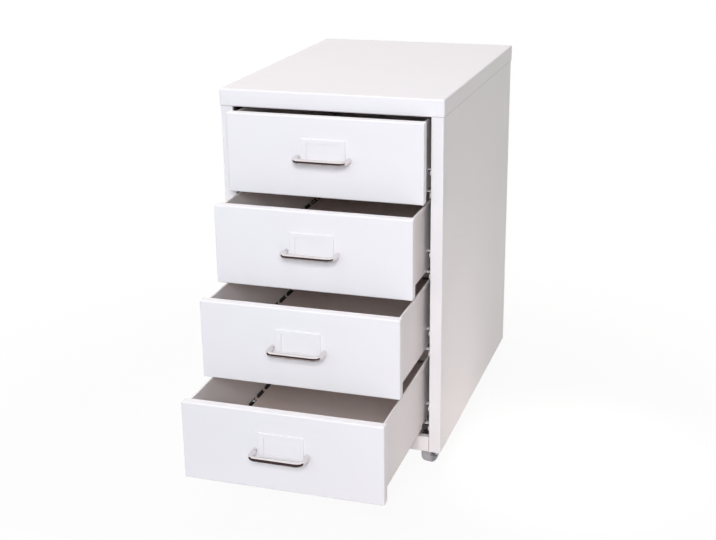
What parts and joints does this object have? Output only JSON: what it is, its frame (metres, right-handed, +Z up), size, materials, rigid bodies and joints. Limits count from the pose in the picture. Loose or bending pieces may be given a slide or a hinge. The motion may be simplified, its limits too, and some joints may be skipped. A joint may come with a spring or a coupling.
{
  "type": "drawer cabinet",
  "caption": "Narrow sheet-steel pedestal on swivel castors with a stack of equal drawers, label holders and bent-rod handles, standing open in steps",
  "frame": {"origin": "on the floor, at the middle of the footprint of the whole part with its drawers standing open", "axes": "+X to the viewer's right across the front, +Y from the front to the back, +Z up"},
  "size_m": [0.282, 0.6242, 0.49],
  "materials": {
    "enamel": "smooth satin white powder coat",
    "chrome": "polished chrome plate",
    "zinc": "bright zinc plate",
    "fork": "dark grey enamel",
    "wheel": "moulded grey nylon",
    "nylon": "natural nylon"
  },
  "bodies": {
    "cabinet": {"cap": "enamel", "side_left": "enamel", "side_right": "enamel", "back_panel": "enamel", "base_panel": "enamel", "back_screws": "zinc", "base_screws": "zinc", "cap_screws": "zinc", "castor_nuts": "zinc", "runner_left_1": "enamel", "runner_left_2": "enamel", "runner_left_3": "enamel", "runner_left_4": "enamel", "runner_right_1": "enamel", "runner_right_2": "enamel", "runner_right_3": "enamel", "runner_right_4": "enamel", "castor_stem_1": "zinc", "castor_stem_2": "zinc", "castor_stem_3": "zinc", "castor_stem_4": "zinc"},
    "drawer_1": {"drawer_front_1": "enamel", "drawer_tray_1": "enamel", "glides_1": "nylon", "handle_1": "chrome", "handle_screws_1": "zinc"},
    "drawer_2": {"drawer_front_2": "enamel", "drawer_tray_2": "enamel", "glides_2": "nylon", "handle_2": "chrome", "handle_screws_2": "zinc"},
    "drawer_3": {"drawer_front_3": "enamel", "drawer_tray_3": "enamel", "glides_3": "nylon", "handle_3": "chrome", "handle_screws_3": "zinc"},
    "drawer_4": {"drawer_front_4": "enamel", "drawer_tray_4": "enamel", "glides_4": "nylon", "handle_4": "chrome", "handle_screws_4": "zinc"},
    "castor_1": {"castor_fork_1": "fork", "castor_axle_1": "zinc"},
    "wheel_1": {"castor_wheel_1": "wheel"},
    "castor_2": {"castor_fork_2": "fork", "castor_axle_2": "zinc"},
    "wheel_2": {"castor_wheel_2": "wheel"},
    "castor_3": {"castor_fork_3": "fork", "castor_axle_3": "zinc"},
    "wheel_3": {"castor_wheel_3": "wheel"},
    "castor_4": {"castor_fork_4": "fork", "castor_axle_4": "zinc"},
    "wheel_4": {"castor_wheel_4": "wheel"}
  },
  "joints": [
    {"name": "drawer_1_slide", "type": "slide", "parent": "cabinet", "child": "drawer_1", "axis": [0, -1, 0], "range_m": [-0.025, 0.285]},
    {"name": "drawer_2_slide", "type": "slide", "parent": "cabinet", "child": "drawer_2", "axis": [0, -1, 0], "range_m": [-0.073, 0.237]},
    {"name": "drawer_3_slide", "type": "slide", "parent": "cabinet", "child": "drawer_3", "axis": [0, -1, 0], "range_m": [-0.127, 0.183]},
    {"name": "drawer_4_slide", "type": "slide", "parent": "cabinet", "child": "drawer_4", "axis": [0, -1, 0], "range_m": [-0.192, 0.118]},
    {"name": "castor_1_swivel", "type": "hinge", "parent": "cabinet", "child": "castor_1", "pos_m": [-0.113, -0.0611, 0.031], "axis": [0, 0, 1], "continuous": true},
    {"name": "wheel_1_spin", "type": "hinge", "parent": "castor_1", "child": "wheel_1", "pos_m": [-0.10989, -0.04951, 0.0145], "axis": [0.9659, -0.2588, 0], "continuous": true},
    {"name": "castor_2_swivel", "type": "hinge", "parent": "cabinet", "child": "castor_2", "pos_m": [0.113, -0.0611, 0.031], "axis": [0, 0, 1], "continuous": true},
    {"name": "wheel_2_spin", "type": "hinge", "parent": "castor_2", "child": "wheel_2", "pos_m": [0.11611, -0.04951, 0.0145], "axis": [0.9659, -0.2588, 0], "continuous": true},
    {"name": "castor_3_swivel", "type": "hinge", "parent": "cabinet", "child": "castor_3", "pos_m": [-0.113, 0.2749, 0.031], "axis": [0, 0, 1], "continuous": true},
    {"name": "wheel_3_spin", "type": "hinge", "parent": "castor_3", "child": "wheel_3", "pos_m": [-0.10989, 0.28649, 0.0145], "axis": [0.9659, -0.2588, 0], "continuous": true},
    {"name": "castor_4_swivel", "type": "hinge", "parent": "cabinet", "child": "castor_4", "pos_m": [0.113, 0.2749, 0.031], "axis": [0, 0, 1], "continuous": true},
    {"name": "wheel_4_spin", "type": "hinge", "parent": "castor_4", "child": "wheel_4", "pos_m": [0.11611, 0.28649, 0.0145], "axis": [0.9659, -0.2588, 0], "continuous": true}
  ]
}
